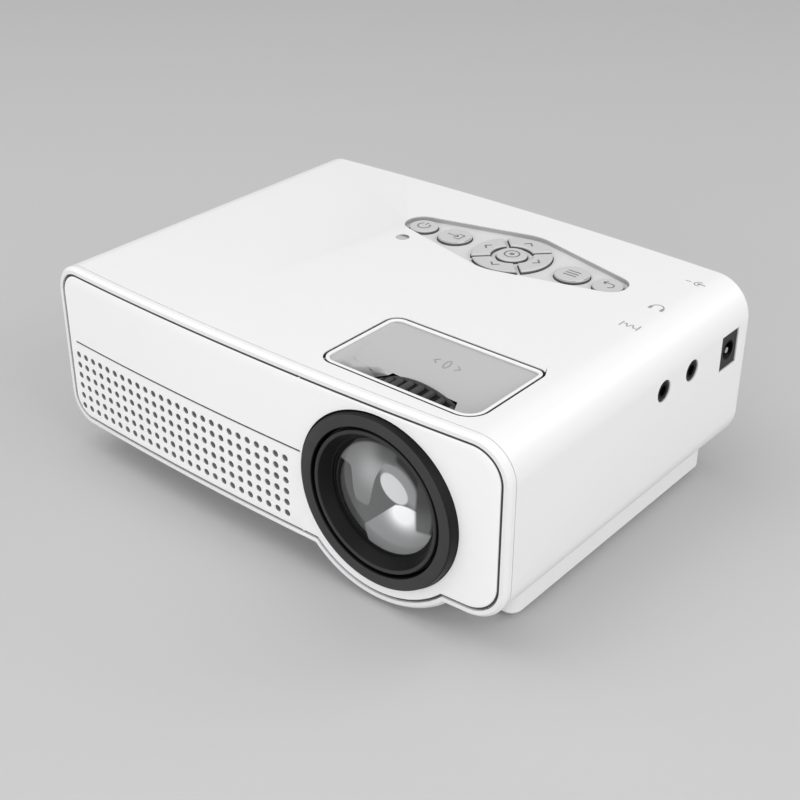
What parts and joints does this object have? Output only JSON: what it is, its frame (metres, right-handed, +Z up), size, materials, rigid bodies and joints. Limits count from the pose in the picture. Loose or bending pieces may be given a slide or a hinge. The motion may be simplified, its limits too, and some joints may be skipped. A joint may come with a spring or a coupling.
{
  "type": "mini projector",
  "caption": "Small desk projector: rounded case with a grille and a round lens in front, focus ring in a sunk tray, keypad on top, sockets on both sides.",
  "frame": {"origin": "middle of the bounding box on the surface that the feet stand on", "axes": "+Z up, the lens looks towards -Y, +X to the right seen from the front"},
  "size_m": [0.19, 0.1421, 0.072],
  "materials": {
    "case_white": "satin gloss white moulding",
    "tray_grey": "white lip with a light grey floor",
    "key_grey": "light grey satin keys with grey signs",
    "trim_black": "satin dark grey",
    "barrel_black": "matt black",
    "ring_black": "matt black with ribs",
    "lens_glass": "clear coated glass",
    "panel_dark": "dark panel in a metal frame",
    "spring_steel": "bright",
    "screw_steel": "zinc plated",
    "board_green": "green solder mask",
    "switch_black": "black moulding",
    "shell_metal": "tinned shell",
    "sink_aluminium": "bare extrusion",
    "filter_dark": "open black foam",
    "lamp_lens": "clear light guide",
    "foot_rubber": "matt dark rubber",
    "insert_brass": "turned"
  },
  "bodies": {
    "case": {"av_jack": "switch_black", "board_screws": "screw_steel", "bottom_cover": "case_white", "card_slot": "shell_metal", "case_screws": "screw_steel", "condenser_lens": "lens_glass", "dc_jack": "switch_black", "dc_pin": "shell_metal", "dust_filter": "filter_dark", "fan_frame": "switch_black", "fan_screws": "screw_steel", "feet": "foot_rubber", "focus_tray": "tray_grey", "fresnel_front": "lens_glass", "fresnel_rear": "lens_glass", "front_frame": "case_white", "front_panel": "case_white", "grille_backing": "case_white", "hdmi_port": "shell_metal", "headphone_jack": "switch_black", "heat_sink": "sink_aluminium", "indicator_lens": "lamp_lens", "jack_board": "board_green", "keypad_board": "board_green", "keypad_screws": "screw_steel", "lcd_panel": "panel_dark", "led_module": "board_green", "lens_mount": "barrel_black", "lens_trim_ring": "trim_black", "main_board": "board_green", "mount_screws": "screw_steel", "optical_housing": "barrel_black", "outer_sleeve": "case_white", "rear_panel": "case_white", "rear_screws": "screw_steel", "speaker": "switch_black", "tact_switches": "switch_black", "tripod_insert": "insert_brass", "usb_port": "shell_metal", "vga_port": "shell_metal"},
    "focus_ring": {"focus_ring": "ring_black"},
    "lens_barrel": {"lens_barrel": "barrel_black", "focus_pin": "spring_steel", "front_lens": "lens_glass", "rear_lens": "lens_glass"},
    "fan_rotor": {"fan_rotor": "switch_black"},
    "power_button": {"power_button": "key_grey"},
    "source_button": {"source_button": "key_grey"},
    "ok_button": {"ok_button": "key_grey"},
    "menu_button": {"menu_button": "key_grey"},
    "back_button": {"back_button": "key_grey"},
    "up_button": {"up_button": "key_grey"},
    "down_button": {"down_button": "key_grey"},
    "left_button": {"left_button": "key_grey"},
    "right_button": {"right_button": "key_grey"}
  },
  "joints": [
    {"name": "focus_turn", "type": "hinge", "parent": "case", "child": "focus_ring", "pos_m": [0.0495, -0.05525, 0.0376], "axis": [0, 1, 0], "range_deg": [-60, 60]},
    {"name": "focus_slide", "type": "slide", "parent": "case", "child": "lens_barrel", "axis": [0, -1, 0], "range_m": [-0.0031, 0.0031]},
    {"name": "fan_spin", "type": "hinge", "parent": "case", "child": "fan_rotor", "pos_m": [0.0495, 0.05675, 0.0376], "axis": [0, 1, 0], "continuous": true},
    {"name": "power_press", "type": "slide", "parent": "case", "child": "power_button", "axis": [0, 0, -1], "range_m": [0, 0.0006], "stiffness_N_per_m": 1500},
    {"name": "source_press", "type": "slide", "parent": "case", "child": "source_button", "axis": [0, 0, -1], "range_m": [0, 0.0006], "stiffness_N_per_m": 1500},
    {"name": "ok_press", "type": "slide", "parent": "case", "child": "ok_button", "axis": [0, 0, -1], "range_m": [0, 0.0006], "stiffness_N_per_m": 1500},
    {"name": "menu_press", "type": "slide", "parent": "case", "child": "menu_button", "axis": [0, 0, -1], "range_m": [0, 0.0006], "stiffness_N_per_m": 1500},
    {"name": "back_press", "type": "slide", "parent": "case", "child": "back_button", "axis": [0, 0, -1], "range_m": [0, 0.0006], "stiffness_N_per_m": 1500},
    {"name": "up_press", "type": "slide", "parent": "case", "child": "up_button", "axis": [0, 0, -1], "range_m": [0, 0.0006], "stiffness_N_per_m": 1500},
    {"name": "down_press", "type": "slide", "parent": "case", "child": "down_button", "axis": [0, 0, -1], "range_m": [0, 0.0006], "stiffness_N_per_m": 1500},
    {"name": "left_press", "type": "slide", "parent": "case", "child": "left_button", "axis": [0, 0, -1], "range_m": [0, 0.0006], "stiffness_N_per_m": 1500},
    {"name": "right_press", "type": "slide", "parent": "case", "child": "right_button", "axis": [0, 0, -1], "range_m": [0, 0.0006], "stiffness_N_per_m": 1500}
  ],
  "couplings": [
    {"joint": "focus_slide", "follows": "focus_turn", "m_per_rad": 0.0028648}
  ]
}
